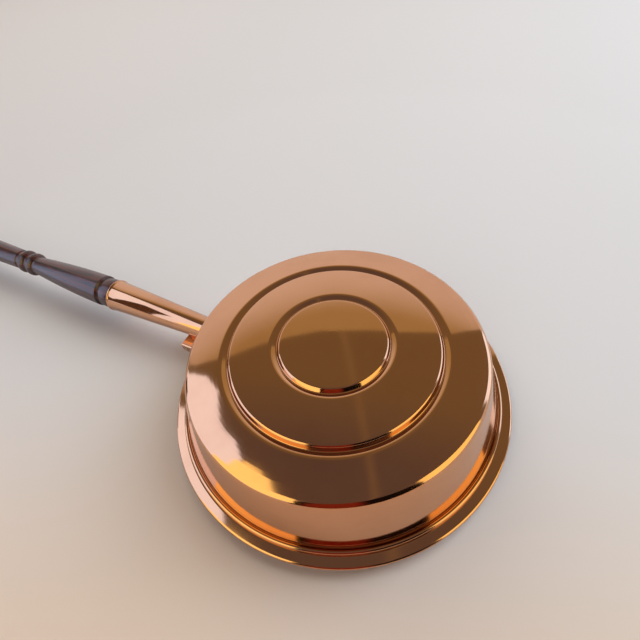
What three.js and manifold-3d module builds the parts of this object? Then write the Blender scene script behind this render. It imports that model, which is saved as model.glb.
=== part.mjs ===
// Bed warming pan of polished copper with a turned wooden handle.
// It lies as it is photographed: the pan's base is up and its hinged lid is down.
// Units are millimetres and +Z is up. The origin is the middle of the lid's flat face,
// on the surface that the lid rests on. The handle runs towards -X.
import * as THREE from 'three';
import { mergeVertices } from 'three/addons/utils/BufferGeometryUtils.js';
import Module from 'manifold-3d';

const wasm = await Module();
wasm.setup();

// ---------------------------------------------------------------- driving dimensions

// Sheet, edge wires and fits
const copperSheet = 1.2;
const edgeWireRadius = 0.5;
const wireClearance = 0.25;
const seatGap = 0.3;
const runningGap = 0.3;

// Pan: a shallow bowl with a crowned base, two stamped rings and a wired rim
const panRimRadius = 143.9;
const panDepth = 75.4;
const wallFootInset = 3.4;
const lipFillet = 1.2;
const panCurlEnd = 150;
const wallFlare = 13.6;
const shoulderRounding = 6;
const crownRadius = 425;
const innerRingRadius = 51.8;
const innerRingWidth = 7.3;
const innerRingDepth = 2;
const outerRingRadius = 95.2;
const outerRingWidth = 7.8;
const outerRingDepth = 2.2;
const ringSlope = 2.2;
const ringFloorWidth = 0.9;

// Lid: a shallow dish with a flat brim that reaches past the pan's rim
const brimOverhang = 8.9;
const lidDepth = 12;
const lidPanelInset = 14.8;
const lidWallRun = 7.5;
const lidRounding = 5;
const lidFillet = 3;
const lidInnerRingRadius = 48;
const lidInnerRingWidth = 10;
const lidOuterRingRadius = 95;
const lidOuterRingWidth = 11;
const lidRingDepth = 2;
const lidRingSlope = 2;

// Socket: a tapered copper tube that carries the handle
const socketNeckRadius = 11.4;
const socketMouthRadius = 16.5;
const socketReach = 123.1;
const socketWall = 1.2;
const socketBeadRadius = 1.3;
const socketBeadRise = 0.75;

// Saddle: the folded strap that joins the socket to the pan and carries the hinge
const strapSheet = 1.2;
const saddleWidth = 46;
const saddleHeight = 32;
const saddleRivetSpread = 34;
const saddleRivetPitch = 17;
const hingeWidth = 41.6;
const webClearance = 0.4;
const earReach = 5.3;
const earDrop = 4.2;
const earStart = 0.8;

// Hinge: a leaf under the lid's brim, rolled round a pin between the saddle's ears
const hingeReach = 10.2;
const pinRadius = 1.6;
const pinHeadRise = 0.6;
const knuckleWall = 1.7;
const knuckleClearance = 0.5;
const leafThickness = 1.6;
const leafInset = 4.5;
const leafSideGap = 0.9;
const leafRivetInset = 5.2;
const leafRivetPitch = 11;
const leafRivetCount = 3;
const notchMargin = 0.5;
const notchDepth = 5.8;

// Rivets and the screws that hold the wood in the socket
const rivetRadius = 1.5;
const rivetHeadRadius = 2.7;
const rivetHeadRise = 1.3;
const screwRadius = 1.3;
const screwHeadRadius = 2.6;
const screwHeadRise = 1.1;
const screwLength = 11;
const screwFromMouth = 16;
const screwPitch = 30;
const screwCount = 2;

// Wooden handle, from the socket's mouth to its end
const tenonLength = 96;
const collarLength = 13.4;
const collarRadius = 15.2;
const collarRise = 0.7;
const collarGrooveLength = 1.6;
const collarGrooveRadius = 14.3;
const vaseLength = 104;
const vaseRadius = 16.7;
const vaseNeckRadius = 10.6;
const vaseSwell = 1.2;
const turningSlope = 1.2;
const turningBeadLength = 9;
const turningBeadRadius = 13.4;
const turningBeadRise = 1.8;
const turningGrooveLength = 2.6;
const turningGrooveRadius = 10.4;
const shaftLength = 286;
const shaftRadius = 11.4;
const shaftSwell = 1.6;
const gripLength = 132;
const gripRadius = 12.2;
const gripSwell = 3;
const knobRadius = 14.6;

// Screw eye and the ring that the pan hangs from
const eyeWireRadius = 1.25;
const eyeClearance = 0.5;
const eyeStem = 2.4;
const eyeShankLength = 20;
const ringWireRadius = 1.6;
const ringRadius = 13;

// Fineness of the turned pieces
const bodySteps = 40;
const handleSteps = 20;
const fastenerSteps = 10;

// ---------------------------------------------------------------- places worked out from them

const curlInner = edgeWireRadius + wireClearance;
const curlOuter = curlInner + copperSheet;
const brimBottom = lidDepth;
const brimTop = brimBottom + copperSheet;
const panMouth = brimTop + seatGap;
const panTop = panMouth + panDepth;
const lipTop = panMouth + copperSheet;
const panCurlRadius = panRimRadius - curlOuter;
const wallFootRadius = panRimRadius - wallFootInset;
const shoulderRadius = wallFootRadius - wallFlare;
const insideWall = shoulderRadius / 2;
const brimRadius = panRimRadius + brimOverhang;
const brimCurlRadius = brimRadius - curlOuter;
const lidPanelRadius = wallFootRadius - copperSheet - lidPanelInset;
const pinDistance = brimRadius + hingeReach;
const earEnd = pinDistance + earReach;
const socketMouth = panRimRadius + socketReach;
const socketTaper = (socketMouthRadius - socketNeckRadius) / socketReach;
const webBottom = panMouth + 2 * curlOuter + webClearance;
const webTop = webBottom + strapSheet;
const handleHeight = webTop + seatGap + socketRadiusAt(earEnd);
const knuckleRadius = pinRadius + runningGap + knuckleWall;
const pinHeight = webBottom - knuckleClearance - knuckleRadius;
const leafTop = brimBottom - seatGap;
const leafBottom = leafTop - leafThickness;
const leafHalfWidth = hingeWidth / 2 - strapSheet - leafSideGap;
const eyeHoleRadius = ringWireRadius + eyeClearance;
const eyeLoopRadius = eyeHoleRadius + eyeWireRadius;

// ---------------------------------------------------------------- outlines

/** Outer radius of the tapered socket at a distance from the pan's axis. */
function socketRadiusAt(distance) {
  return socketNeckRadius + (distance - panRimRadius) * socketTaper;
}

/** Height of the pan's crowned base at a radius. */
function crownAt(radius) {
  return panTop - radius ** 2 / (2 * crownRadius);
}

/** Radius of the pan's flared wall at a height. */
function wallRadiusAt(height) {
  const share = (height - lipTop) / (crownAt(shoulderRadius) - lipTop);
  return wallFootRadius - wallFlare * share;
}

/** Radius at which the facets of a turned piece lie in the direction of an angle. */
function facetedRadius(radius, angle) {
  const half = Math.PI / bodySteps;
  const fromMiddle = (Math.abs(angle) % (2 * half)) - half;
  return (radius * Math.cos(half)) / Math.cos(fromMiddle);
}

/** Points of an arc round a centre, from one angle to another in degrees. */
function arc(centre, radius, from, to, steps) {
  return Array.from({ length: steps + 1 }, (_, i) => {
    const angle = THREE.MathUtils.degToRad(from + ((to - from) * i) / steps);
    return new THREE.Vector2(
      centre.x + radius * Math.cos(angle),
      centre.y + radius * Math.sin(angle)
    );
  });
}

/** Rounds one corner of a path: the points of an arc tangent to both sides. */
function roundCorner(before, corner, after, radius, steps) {
  const toBefore = before.clone().sub(corner).normalize();
  const toAfter = after.clone().sub(corner).normalize();
  const halfAngle = Math.acos(THREE.MathUtils.clamp(toBefore.dot(toAfter), -1, 1)) / 2;
  const reach = radius / Math.tan(halfAngle);
  const middle = toBefore.clone().add(toAfter).normalize();
  const centre = middle.multiplyScalar(radius / Math.sin(halfAngle)).add(corner);
  const start = toBefore.multiplyScalar(reach).add(corner).sub(centre);
  const end = toAfter.multiplyScalar(reach).add(corner).sub(centre);
  const turn = Math.atan2(start.cross(end), start.dot(end));
  return Array.from({ length: steps + 1 }, (_, i) =>
    start.clone().rotateAround(new THREE.Vector2(), (turn * i) / steps).add(centre)
  );
}

/** A stamped ring in a surface, from a steep inner side to its outer edge: its four corners. */
function stampedRing(radius, width, slope, floorWidth, level, floor) {
  const inner = radius - width;
  return [
    new THREE.Vector2(inner, level(inner)),
    new THREE.Vector2(inner + slope, floor),
    new THREE.Vector2(inner + slope + floorWidth, floor),
    new THREE.Vector2(radius, level(radius)),
  ];
}

/** Shifts a path sideways, to its left for a positive distance. */
function offsetPath(path, distance) {
  const side = (a, b) => new THREE.Vector2(a.y - b.y, b.x - a.x).normalize();
  return path.map((point, i) => {
    const before = side(path[Math.max(i - 1, 0)], path[Math.max(i, 1)]);
    const last = path.length - 1;
    const after = side(path[Math.min(i, last - 1)], path[Math.min(i + 1, last)]);
    const middle = before.clone().add(after).normalize();
    const moved = middle.clone().multiplyScalar(distance / middle.dot(after)).add(point);
    if (point.x === 0) moved.x = 0;
    return moved;
  });
}

/** Closed section of a sheet whose one face follows a path. */
function sheetSection(path, thickness) {
  return [...path, ...offsetPath(path, thickness).reverse()];
}

// ---------------------------------------------------------------- geometry helpers

/** Turns a section of radius and height about +Z. It ends on the axis, or is closed here. */
function turned(section, steps) {
  const points = [...section];
  if (section[0].x !== 0) points.push(section[0].clone());
  if (THREE.ShapeUtils.area(section) < 0) points.reverse();
  return new THREE.LatheGeometry(points, steps).rotateX(Math.PI / 2);
}

/** A cylinder between two heights on the Z axis. */
function rod(radius, low, high, steps) {
  const cylinder = new THREE.CylinderGeometry(radius, radius, high - low, steps);
  return cylinder.rotateX(Math.PI / 2).translate(0, 0, (low + high) / 2);
}

/** A box between two corners. */
function block(x0, x1, y0, y1, z0, z1) {
  const box = new THREE.BoxGeometry(x1 - x0, y1 - y0, z1 - z0);
  return box.translate((x0 + x1) / 2, (y0 + y1) / 2, (z0 + z1) / 2);
}

/** Lays a piece turned about +Z along the handle: its Z becomes the distance from the pan. */
function alongHandle(geometry) {
  return geometry.rotateY(-Math.PI / 2).translate(0, 0, handleHeight);
}

/** Lays a piece turned about +Z along +Y. */
function acrossHandle(geometry) {
  return geometry.rotateX(-Math.PI / 2);
}

/** A closed geometry as a solid. */
function solidOf(geometry) {
  const bare = geometry.clone();
  bare.deleteAttribute('normal');
  bare.deleteAttribute('uv');
  const merged = mergeVertices(bare, 1e-4);
  return new wasm.Manifold(
    new wasm.Mesh({
      numProp: 3,
      vertProperties: merged.attributes.position.array,
      triVerts: new Uint32Array(merged.index.array),
    })
  );
}

/** A solid as a geometry. */
function geometryOf(solid) {
  const { vertProperties, triVerts, numProp } = solid.getMesh();
  const geometry = new THREE.BufferGeometry();
  const positions = new Float32Array((vertProperties.length / numProp) * 3);
  for (let i = 0; i < positions.length / 3; i++) {
    positions.set(vertProperties.subarray(i * numProp, i * numProp + 3), 3 * i);
  }
  geometry.setAttribute('position', new THREE.BufferAttribute(positions, 3));
  geometry.setIndex(new THREE.BufferAttribute(new Uint32Array(triVerts), 1));
  geometry.computeVertexNormals();
  return geometry;
}

/** Joins geometries, then cuts others away. */
function shaped(joined, cut = []) {
  const whole = joined.map(solidOf).reduce((sum, next) => sum.add(next));
  return geometryOf(cut.map(solidOf).reduce((rest, next) => rest.subtract(next), whole));
}

// ---------------------------------------------------------------- finishes and assembly

const copper = { color: 0xc98260, metalness: 1, roughness: 0.12 };
const brass = { color: 0xc9a04c, metalness: 1, roughness: 0.25 };
const steel = { color: 0x8d8d90, metalness: 1, roughness: 0.4 };
const walnut = { color: 0x4a2a1b, metalness: 0, roughness: 0.3 };

/** Adds a named piece to the part. */
function addPiece(name, geometry, finish) {
  const mesh = new THREE.Mesh(geometry, new THREE.MeshStandardMaterial(finish));
  mesh.name = name;
  part.add(mesh);
  return mesh;
}

const part = new THREE.Group();

// ---------------------------------------------------------------- pan

/** Outer face of the pan, from the middle of its base to the inside of its rolled edge. */
function panOutline() {
  const shoulder = new THREE.Vector2(shoulderRadius, crownAt(shoulderRadius));
  const foot = new THREE.Vector2(wallFootRadius, lipTop);
  const lipEnd = new THREE.Vector2(panCurlRadius, lipTop);
  const innerFloor = crownAt(innerRingRadius) - innerRingDepth;
  const outerFloor = crownAt(outerRingRadius) - outerRingDepth;
  const onCrown = (radius) => new THREE.Vector2(radius, crownAt(radius));
  const betweenRings = (innerRingRadius + outerRingRadius - outerRingWidth) / 2;
  const outside = (outerRingRadius + shoulderRadius) / 2;
  return [
    onCrown(0),
    onCrown((innerRingRadius - innerRingWidth) / 2),
    ...stampedRing(innerRingRadius, innerRingWidth, ringSlope, ringFloorWidth, crownAt, innerFloor),
    onCrown(betweenRings),
    ...stampedRing(outerRingRadius, outerRingWidth, ringSlope, ringFloorWidth, crownAt, outerFloor),
    onCrown(outside),
    ...roundCorner(onCrown(outside), shoulder, foot, shoulderRounding, 3),
    ...roundCorner(shoulder, foot, lipEnd, lipFillet, 3),
    ...arc(new THREE.Vector2(panCurlRadius, lipTop + curlInner), curlInner, -90, panCurlEnd, 6),
  ];
}

/** The space inside the pan's wall, grown by a gap: what seats on the wall is cut by it. */
function panCore(gap) {
  const section = [
    new THREE.Vector2(0, 0),
    new THREE.Vector2(wallRadiusAt(0) + gap, 0),
    new THREE.Vector2(wallRadiusAt(panTop) + gap, panTop),
    new THREE.Vector2(0, panTop),
  ];
  return turned(section, bodySteps);
}

/** A round wire inside a rolled edge. */
function edgeWire(radius, height) {
  const section = arc(new THREE.Vector2(radius, height), edgeWireRadius, 0, 300, 5);
  return turned(section, bodySteps);
}

// ---------------------------------------------------------------- fasteners

/** Turned section of a domed head from its rim to the axis, standing up from a height. */
function dome(radius, rise, base) {
  return [
    new THREE.Vector2(radius, base),
    new THREE.Vector2(radius * 0.94, base + rise * 0.35),
    new THREE.Vector2(radius * 0.6, base + rise * 0.84),
    new THREE.Vector2(0, base + rise),
  ];
}

/** A rivet along Z with a head past each end of its grip, centred on the grip. */
function rivet(grip) {
  const seat = grip / 2 + seatGap;
  const top = [new THREE.Vector2(rivetRadius, seat), ...dome(rivetHeadRadius, rivetHeadRise, seat)];
  const bottom = top.map((p) => new THREE.Vector2(p.x, -p.y)).reverse();
  return turned([...bottom, ...top], fastenerSteps);
}

/** A wood screw along Z: its domed head seats at height 0 and its shank runs down. */
function woodScrew() {
  return turned(
    [
      new THREE.Vector2(0, -screwLength),
      new THREE.Vector2(screwRadius, 2 * screwRadius - screwLength),
      new THREE.Vector2(screwRadius, seatGap),
      ...dome(screwHeadRadius, screwHeadRise, seatGap),
    ],
    fastenerSteps
  );
}

/** Where the saddle's rivets sit on the pan's wall, and which way they point. */
function saddleRivetPlaces() {
  const places = [];
  const middle = webBottom + saddleHeight / 2;
  const lean = Math.atan(wallFlare / (crownAt(shoulderRadius) - lipTop));
  for (const side of [-1, 1]) {
    for (const level of [-1, 1]) {
      const height = middle + (level * saddleRivetPitch) / 2;
      const angle = Math.asin(saddleRivetSpread / 2 / wallRadiusAt(height));
      const depth = (strapSheet + seatGap - copperSheet) / 2;
      const radius = facetedRadius(wallRadiusAt(height), angle) + depth;
      const outward = new THREE.Vector3(-Math.cos(angle), side * Math.sin(angle), 0);
      const position = outward.clone().multiplyScalar(radius).setZ(height);
      const direction = outward.multiplyScalar(Math.cos(lean)).setZ(Math.sin(lean));
      places.push({ position, direction });
    }
  }
  return places;
}

/** Turns a geometry's Z to a direction and moves it to a position. */
function placed(geometry, { position, direction }) {
  const turn = new THREE.Quaternion().setFromUnitVectors(new THREE.Vector3(0, 0, 1), direction);
  return geometry.applyQuaternion(turn).translate(position.x, position.y, position.z);
}

const saddleRivets = saddleRivetPlaces();
const saddleGrip = copperSheet + seatGap + strapSheet;
const rivetHole = () => rod(rivetRadius + seatGap, -2 * saddleGrip, 2 * saddleGrip, fastenerSteps);
const saddleHoles = () => saddleRivets.map((place) => placed(rivetHole(), place));

const panSheet = turned(sheetSection(panOutline(), -copperSheet), bodySteps);

addPiece('pan_body', shaped([panSheet], saddleHoles()), copper);
addPiece('pan_rim_wire', edgeWire(panCurlRadius, lipTop + curlInner), steel);

// ---------------------------------------------------------------- saddle and socket

/** Solid cone along the handle, thicker than the socket by a gap, between two distances. */
function socketCone(gap, from, to) {
  const section = [
    new THREE.Vector2(0, from),
    new THREE.Vector2(socketRadiusAt(from) + gap, from),
    new THREE.Vector2(socketRadiusAt(to) + gap, to),
    new THREE.Vector2(0, to),
  ];
  return alongHandle(turned(section, handleSteps));
}

/** Hole for the hinge pin, right across the part. */
function pinCylinder(radius, halfLength) {
  const steps = 2 * fastenerSteps;
  return acrossHandle(rod(radius, -halfLength, halfLength, steps)).translate(-pinDistance, 0, pinHeight);
}

/** The saddle: a plate on the pan's wall, folded out under the socket as the hinge's channel. */
function saddle() {
  const half = hingeWidth / 2;
  const inside = half - strapSheet;
  const side = saddleWidth / 2;
  const plateTop = webBottom + saddleHeight;
  const earBottom = pinHeight - earDrop;
  const plateBounds = block(-earEnd, -insideWall, -side, side, webBottom, plateTop);
  const plate = solidOf(panCore(seatGap + strapSheet)).intersect(solidOf(plateBounds));
  const web = block(-earEnd, -insideWall, -half, half, webBottom, webTop);
  const ears = [-1, 1].map((hand) => {
    const faces = [hand * inside, hand * half].sort((a, b) => a - b);
    return block(-earEnd, -(brimRadius + earStart), ...faces, earBottom, webTop);
  });
  const whole = [web, ...ears].map(solidOf).reduce((sum, next) => sum.add(next), plate);
  const cuts = [
    panCore(seatGap),
    socketCone(seatGap, insideWall, socketMouth),
    pinCylinder(pinRadius + runningGap, hingeWidth),
    ...saddleHoles(),
  ];
  return geometryOf(cuts.map(solidOf).reduce((rest, next) => rest.subtract(next), whole));
}

/** Section of the socket's tube, from inside the pan's wall to its beaded mouth. */
function socketSection() {
  const beadStart = socketMouth - 2 * socketBeadRadius;
  const beadCentre = new THREE.Vector2(
    socketMouthRadius + socketBeadRise - socketBeadRadius,
    socketMouth - socketBeadRadius
  );
  return [
    new THREE.Vector2(socketRadiusAt(insideWall) - socketWall, insideWall),
    new THREE.Vector2(socketRadiusAt(insideWall), insideWall),
    new THREE.Vector2(socketRadiusAt(beadStart), beadStart),
    ...arc(beadCentre, socketBeadRadius, -45, 90, 4),
    new THREE.Vector2(socketRadiusAt(socketMouth) - socketWall, socketMouth),
  ];
}

/** Where the screws sit in a row under the socket. */
const screwPlaces = Array.from({ length: screwCount }, (_, i) => {
  const distance = socketMouth - screwFromMouth - i * screwPitch;
  return {
    position: new THREE.Vector3(-distance, 0, handleHeight - socketRadiusAt(distance)),
    direction: new THREE.Vector3(0, 0, -1),
  };
});
const screwHole = () =>
  rod(screwRadius + seatGap, -screwLength - seatGap, screwHeadRise + seatGap, fastenerSteps);
const screwHoles = () => screwPlaces.map((place) => placed(screwHole(), place));

addPiece('saddle_bracket', saddle(), copper);
saddleRivets.forEach((place, i) => {
  addPiece(`saddle_rivet_${i + 1}`, placed(rivet(saddleGrip), place), copper);
});
const socketTube = alongHandle(turned(socketSection(), handleSteps));
addPiece('handle_socket', shaped([socketTube], [panCore(seatGap), ...screwHoles()]), copper);
screwPlaces.forEach((place, i) => {
  addPiece(`socket_screw_${i + 1}`, placed(woodScrew(), place), brass);
});

// ---------------------------------------------------------------- wooden handle

/** Outline of the turned wood: distance from the pan's axis against radius. */
function handleOutline() {
  const points = [];
  let at = socketMouth + seatGap;
  const member = (length, from, to, bulge, steps) => {
    for (let i = 0; i <= steps; i++) {
      const t = i / steps;
      const radius = from + (to - from) * t + bulge * 4 * t * (1 - t);
      points.push(new THREE.Vector2(radius, at + length * t));
    }
    at += length;
  };
  const groove = () => {
    at += turningSlope;
    member(turningGrooveLength, turningGrooveRadius, turningGrooveRadius, 0, 1);
    at += turningSlope;
  };
  const bead = () => {
    const edge = turningBeadRadius - turningBeadRise;
    member(turningBeadLength, edge, edge, turningBeadRise, 4);
  };

  const tenonEnd = socketMouth - tenonLength;
  const tenonRadiusAt = (distance) => socketRadiusAt(distance) - socketWall - seatGap;
  points.push(new THREE.Vector2(0, tenonEnd));
  points.push(new THREE.Vector2(tenonRadiusAt(tenonEnd), tenonEnd));
  points.push(new THREE.Vector2(tenonRadiusAt(at), at));
  member(collarLength, collarRadius, collarRadius, collarRise, 3);
  at += turningSlope;
  member(collarGrooveLength, collarGrooveRadius, collarGrooveRadius, 0, 1);
  at += turningSlope;
  member(vaseLength, vaseRadius, vaseNeckRadius, vaseSwell, 6);
  groove();
  bead();
  groove();
  bead();
  groove();
  member(shaftLength, shaftRadius, shaftRadius, shaftSwell, 6);
  groove();
  bead();
  groove();
  member(gripLength, gripRadius, gripRadius, gripSwell, 6);
  groove();
  const knob = arc(new THREE.Vector2(0, at + knobRadius * 0.8), knobRadius, -48, 80, 7);
  return [...points, ...knob, new THREE.Vector2(0, knob[knob.length - 1].y)];
}

const woodOutline = handleOutline();
const handleEnd = woodOutline[woodOutline.length - 1].y;
const eyeDistance = handleEnd + seatGap + eyeStem + eyeLoopRadius;

/** Hole in the wood for the screw eye's shank. */
function eyeHole() {
  const low = handleEnd - eyeShankLength - seatGap;
  return alongHandle(rod(eyeWireRadius + seatGap, low, handleEnd + eyeStem, fastenerSteps));
}

/** The screw eye: a loop across the handle's end on a shank that runs into the wood. */
function screwEye() {
  const loopSection = arc(new THREE.Vector2(eyeLoopRadius, 0), eyeWireRadius, 0, 315, 7);
  const loop = acrossHandle(turned(loopSection, handleSteps)).translate(-eyeDistance, 0, handleHeight);
  const shankEnd = eyeDistance - eyeLoopRadius;
  const shank = alongHandle(rod(eyeWireRadius, handleEnd - eyeShankLength, shankEnd, fastenerSteps));
  return shaped([loop, shank]);
}

const turnedWood = alongHandle(turned(woodOutline, handleSteps));
addPiece('wooden_handle', shaped([turnedWood], [...screwHoles(), eyeHole()]), walnut);
addPiece('screw_eye', screwEye(), brass);

const hangingRing = addPiece(
  'hanging_ring',
  new THREE.TorusGeometry(ringRadius, ringWireRadius, 8, 24).rotateY(Math.PI / 2),
  brass
);
hangingRing.position.set(-eyeDistance, 0, handleHeight - ringRadius);

// ---------------------------------------------------------------- lid and its hinge

/** Lower face of the lid, from its middle to the inside of its rolled edge. */
function lidOutline() {
  const flat = () => 0;
  const shoulder = new THREE.Vector2(lidPanelRadius - lidWallRun, 0);
  const foot = new THREE.Vector2(lidPanelRadius, brimBottom);
  const brimEnd = new THREE.Vector2(brimCurlRadius, brimBottom);
  const lidRing = (radius, width) =>
    stampedRing(radius, width, lidRingSlope, width - 2 * lidRingSlope, flat, lidRingDepth);
  const outerRing = lidRing(lidOuterRingRadius, lidOuterRingWidth);
  return [
    new THREE.Vector2(0, 0),
    ...lidRing(lidInnerRingRadius, lidInnerRingWidth),
    ...outerRing,
    ...roundCorner(outerRing[3], shoulder, foot, lidRounding, 3),
    ...roundCorner(shoulder, foot, brimEnd, lidFillet, 3),
    ...arc(new THREE.Vector2(brimCurlRadius, brimBottom - curlInner), curlInner, 90, -190, 7),
  ];
}

/** What is cut out of the lid's rolled edge to let the hinge leaf through. */
function hingeNotch() {
  const half = hingeWidth / 2 + notchMargin;
  return block(-earEnd, notchDepth - brimRadius, -half, half, 0, webBottom);
}

const leafRivetDistance = wallFootRadius - copperSheet - leafRivetInset;
const leafGrip = copperSheet + seatGap + leafThickness;
const leafRivetPlaces = Array.from({ length: leafRivetCount }, (_, i) => ({
  position: new THREE.Vector3(
    -leafRivetDistance,
    (i - (leafRivetCount - 1) / 2) * leafRivetPitch,
    leafBottom + leafGrip / 2
  ),
  direction: new THREE.Vector3(0, 0, 1),
}));
const leafHoles = () =>
  leafRivetPlaces.map((place) => {
    const hole = rod(rivetRadius + seatGap, -leafGrip, leafGrip, fastenerSteps);
    return placed(hole, place);
  });

/** The hinge leaf: a plate under the brim, rolled round the pin at its outer end. */
function hingeLeaf() {
  const plate = block(
    -pinDistance,
    -(leafRivetDistance - leafInset),
    -leafHalfWidth,
    leafHalfWidth,
    leafBottom,
    leafTop
  );
  const riser = block(
    -pinDistance,
    -(pinDistance - knuckleRadius),
    -leafHalfWidth,
    leafHalfWidth,
    leafBottom,
    Math.max(pinHeight, leafTop)
  );
  const knuckle = pinCylinder(knuckleRadius, leafHalfWidth);
  const bore = pinCylinder(pinRadius + runningGap, hingeWidth);
  return shaped([plate, riser, knuckle], [bore, ...leafHoles()]);
}

/** The hinge pin, with a low dome past each ear. */
function hingePin() {
  const half = hingeWidth / 2 + seatGap;
  const end = dome(pinRadius, pinHeadRise, half);
  const start = end.map((p) => new THREE.Vector2(p.x, -p.y)).reverse();
  const pin = acrossHandle(turned([...start, ...end], fastenerSteps));
  return pin.translate(-pinDistance, 0, pinHeight);
}

const lidSheet = turned(sheetSection(lidOutline(), copperSheet), bodySteps);
const lidWire = edgeWire(brimCurlRadius, brimBottom - curlInner);

addPiece('hinge_pin', hingePin(), steel);
addPiece('lid_panel', shaped([lidSheet], [hingeNotch(), ...leafHoles()]), copper);
addPiece('lid_rim_wire', shaped([lidWire], [hingeNotch()]), steel);
addPiece('hinge_leaf', hingeLeaf(), copper);
leafRivetPlaces.forEach((place, i) => {
  addPiece(`leaf_rivet_${i + 1}`, placed(rivet(leafGrip), place), copper);
});

export default part;
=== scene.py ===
"""Looks of a copper bed warming pan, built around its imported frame.

The pan stands on its closed lid with its base up, and the handle runs towards -X.
Sizes in the classes are millimetres. A distance is taken from the pan's axis towards
the handle, and a height from the table.
"""

import logging
import math
from collections.abc import Callable, Iterable, Sequence
from dataclasses import dataclass, field, replace
from enum import Enum

import bmesh
import bpy
from mathutils import Matrix, Vector


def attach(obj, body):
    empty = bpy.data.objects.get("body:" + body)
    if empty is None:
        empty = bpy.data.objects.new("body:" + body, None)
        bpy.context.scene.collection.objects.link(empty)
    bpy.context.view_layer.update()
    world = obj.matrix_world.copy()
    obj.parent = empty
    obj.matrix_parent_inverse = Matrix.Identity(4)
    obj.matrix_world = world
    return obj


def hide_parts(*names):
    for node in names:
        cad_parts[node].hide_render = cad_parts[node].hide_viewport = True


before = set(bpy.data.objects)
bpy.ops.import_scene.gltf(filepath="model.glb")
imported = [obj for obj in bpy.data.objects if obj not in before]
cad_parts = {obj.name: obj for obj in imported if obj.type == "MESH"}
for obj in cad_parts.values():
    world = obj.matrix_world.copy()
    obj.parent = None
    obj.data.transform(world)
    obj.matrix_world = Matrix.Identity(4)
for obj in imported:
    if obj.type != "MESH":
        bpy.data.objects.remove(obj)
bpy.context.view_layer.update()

log = logging.getLogger("warming_pan")

MM = 0.001
BODY_STEPS = 256
HANDLE_STEPS = 128
FASTENER_STEPS = 48
SHARP_ANGLE = math.radians(38)
CARVE_MARGIN = 2.0

Point = tuple[float, float]
Place = Callable[[float, float, float], Vector]
Links = dict[str | int, object]
Colour = tuple[float, float, float]

SOFTLY = {"interpolation_type": "SMOOTHSTEP"}
COLOURS = {"data_type": "RGBA"}


# ---------------------------------------------------------------- outlines


def arc(centre: Point, radius: float, start: float, end: float, steps: int) -> list[Point]:
    """Points along an arc.

    Args:
        centre: The arc's centre.
        radius: Its radius.
        start: Angle of the first point, in degrees.
        end: Angle of the last point, in degrees.
        steps: Number of segments.

    Returns:
        The points, first and last included.
    """
    angles = [math.radians(start + (end - start) * i / steps) for i in range(steps + 1)]
    return [(centre[0] + radius * math.cos(a), centre[1] + radius * math.sin(a)) for a in angles]


def rounded(corners: Sequence[tuple[float, float, float]], steps: int = 8) -> list[Point]:
    """A path with rounded corners.

    Args:
        corners: Each corner's two coordinates and its rounding radius, 0 for a sharp one.
        steps: Segments in each rounding.

    Returns:
        The path's points. The first and last corners stay sharp.
    """
    path: list[Point] = [corners[0][:2]]
    for before, corner, after in zip(corners, corners[1:], corners[2:]):
        here = Vector(corner[:2])
        back = (Vector(before[:2]) - here).normalized()
        on = (Vector(after[:2]) - here).normalized()
        opening = back.angle(on)
        if corner[2] <= 0 or opening > math.radians(179.5):
            path.append(corner[:2])
            continue
        reach = corner[2] / math.tan(opening / 2)
        centre = here + (back + on).normalized() * (corner[2] / math.sin(opening / 2))
        first = here + back * reach - centre
        last = here + on * reach - centre
        turn = math.atan2(first.x * last.y - first.y * last.x, first.dot(last))
        for i in range(steps + 1):
            spoke = Matrix.Rotation(turn * i / steps, 2) @ first
            path.append(tuple(centre + spoke))
    path.append(corners[-1][:2])
    return path


def shifted(path: Sequence[Point], distance: float) -> list[Point]:
    """Shifts a path sideways, to its left for a positive distance.

    Args:
        path: The points of the path.
        distance: How far it moves.

    Returns:
        The shifted points. A point on the axis stays on it.
    """
    points = [Vector(p) for p in path]
    sides = [Vector((a.y - b.y, b.x - a.x)).normalized() for a, b in zip(points, points[1:])]
    moved: list[Point] = []
    for i, point in enumerate(points):
        before, after = sides[max(i - 1, 0)], sides[min(i, len(sides) - 1)]
        middle = (before + after).normalized()
        place = point + middle * (distance / middle.dot(after))
        moved.append((0.0 if point.x == 0 else place.x, place.y))
    return moved


def supported(path: Sequence[Point], inset: float = 0.25) -> list[Point]:
    """Adds a point near both ends of each long straight run, so that its face is shaded flat.

    Args:
        path: The points of the path.
        inset: How far from the end each new point lies.

    Returns:
        The path with the added points.
    """
    dense: list[Point] = [path[0]]
    for start, end in zip(path, path[1:]):
        run = Vector(end) - Vector(start)
        if run.length > 8 * inset:
            step = run.normalized() * inset
            dense += [tuple(Vector(start) + step), tuple(Vector(end) - step)]
        dense.append(end)
    return dense


def sheet_section(path: Sequence[Point], thickness: float) -> list[Point]:
    """Closed section of a sheet whose one face follows a path, and whose other lies to its left."""
    face = supported(path)
    return [*face, *reversed(shifted(face, thickness))]


def dome(radius: float, rise: float, base: float, steps: int = 8) -> list[Point]:
    """Outline of a domed head from its rim to the axis, with a short upright rim.

    Args:
        radius: Radius of the head.
        rise: Its height.
        base: Height that it stands on.
        steps: Segments of the dome.

    Returns:
        Points of radius and height.
    """
    rim = rise * 0.2
    curve = [math.radians(90 * i / steps) for i in range(steps + 1)]
    top = [(radius * math.cos(a), base + rim + (rise - rim) * math.sin(a)) for a in curve]
    return [(radius, base), *top[:-1], (0.0, base + rise)]


# ---------------------------------------------------------------- meshes


def upright(radius: float, angle: float, height: float) -> Vector:
    """Place of a point turned about the pan's axis."""
    return Vector((radius * math.cos(angle), radius * math.sin(angle), height))


def end_on(u: float, v: float, run: float) -> Vector:
    """Place of a section that is seen along the handle and runs away from the pan."""
    return Vector((-run, u, v))


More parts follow.
